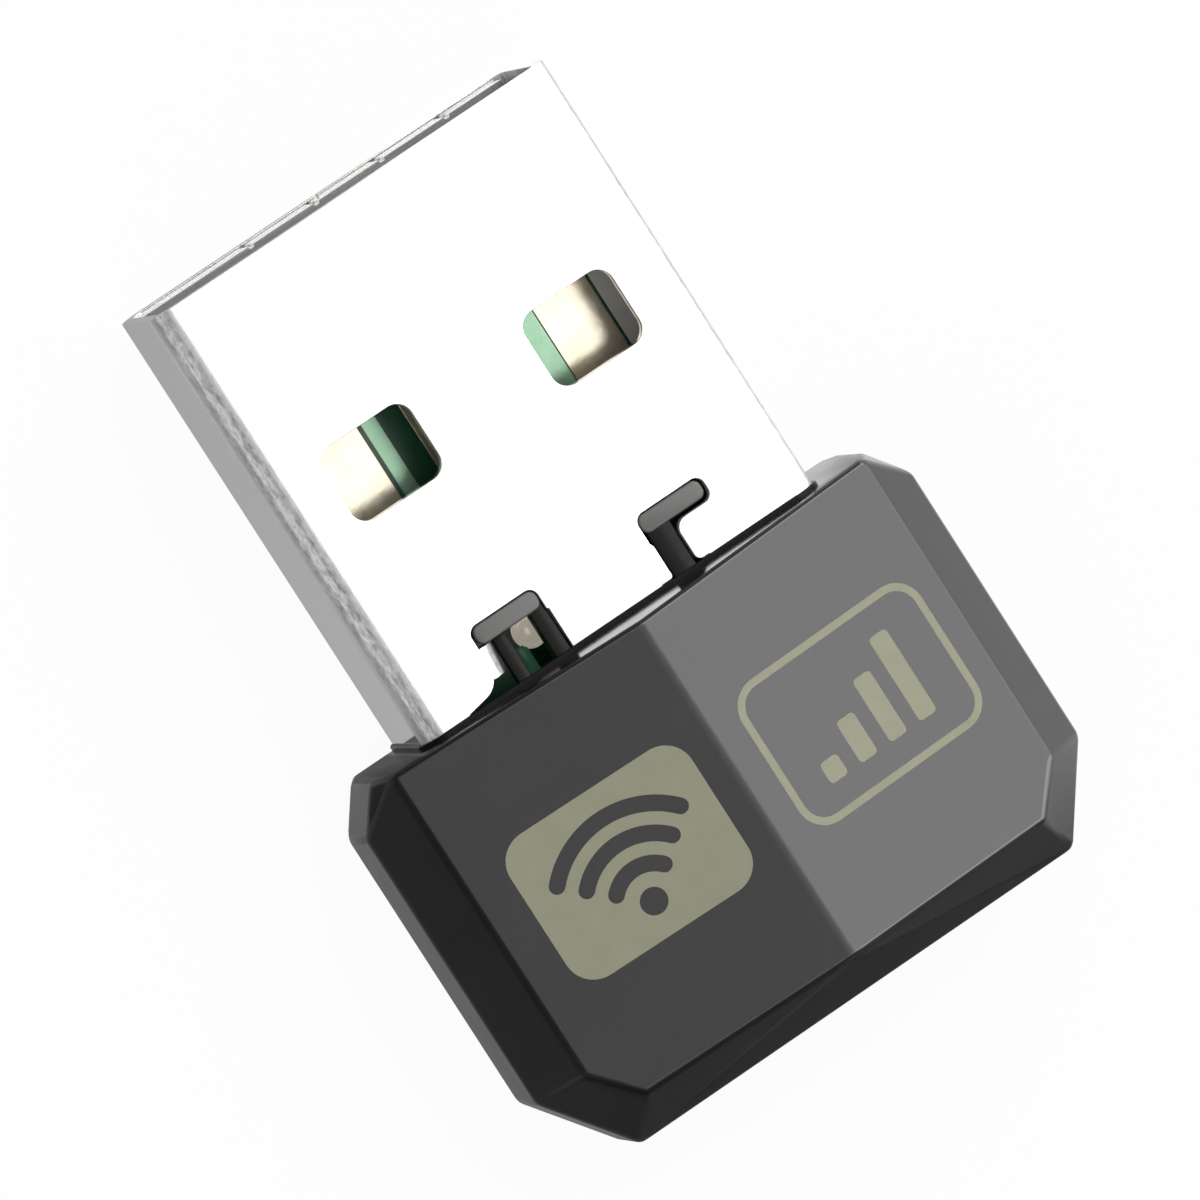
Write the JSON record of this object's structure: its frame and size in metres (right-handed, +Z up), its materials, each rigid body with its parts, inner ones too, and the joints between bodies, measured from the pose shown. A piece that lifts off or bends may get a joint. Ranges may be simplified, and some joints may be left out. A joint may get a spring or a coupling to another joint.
{
  "type": "usb wireless adapter",
  "caption": "Small black faceted USB adapter for short-range wireless, its cap ridged along the top, with a bright folded steel plug, latch windows, hook slots and a board with gold pads.",
  "frame": {"origin": "under the middle of the whole adapter, on the surface that its flat underside lies on", "axes": "+Y from the cap towards the plug's mouth, +Z up out of the printed face, +X to the right seen from above with the mouth away"},
  "size_m": [0.0168, 0.0242, 0.0062],
  "materials": {
    "cap_plastic": "satin",
    "frame_plastic": "gloss",
    "plug_steel": "polished",
    "tray_plastic": "satin",
    "board_laminate": "satin",
    "contact_gold": "polished",
    "solder": "bright",
    "chip_resin": "matte",
    "chip_ceramic": "matte"
  },
  "bodies": {
    "root": {"housing": "cap_plastic", "retainer": "frame_plastic", "usb_shell": "plug_steel", "tongue_support": "tray_plastic", "circuit_board": "board_laminate", "contact_vbus": "contact_gold", "contact_data_minus": "contact_gold", "contact_data_plus": "contact_gold", "contact_ground": "contact_gold", "solder_joint": "solder", "antenna_trace": "contact_gold", "radio_chip": "chip_resin", "crystal": "solder", "flash_memory": "chip_resin", "voltage_regulator": "chip_resin", "power_inductor": "chip_ceramic", "esd_protector": "chip_resin", "ferrite_bead": "chip_ceramic", "capacitors": "chip_ceramic", "resistors": "chip_ceramic", "antenna_matching": "chip_ceramic"}
  },
  "joints": []
}
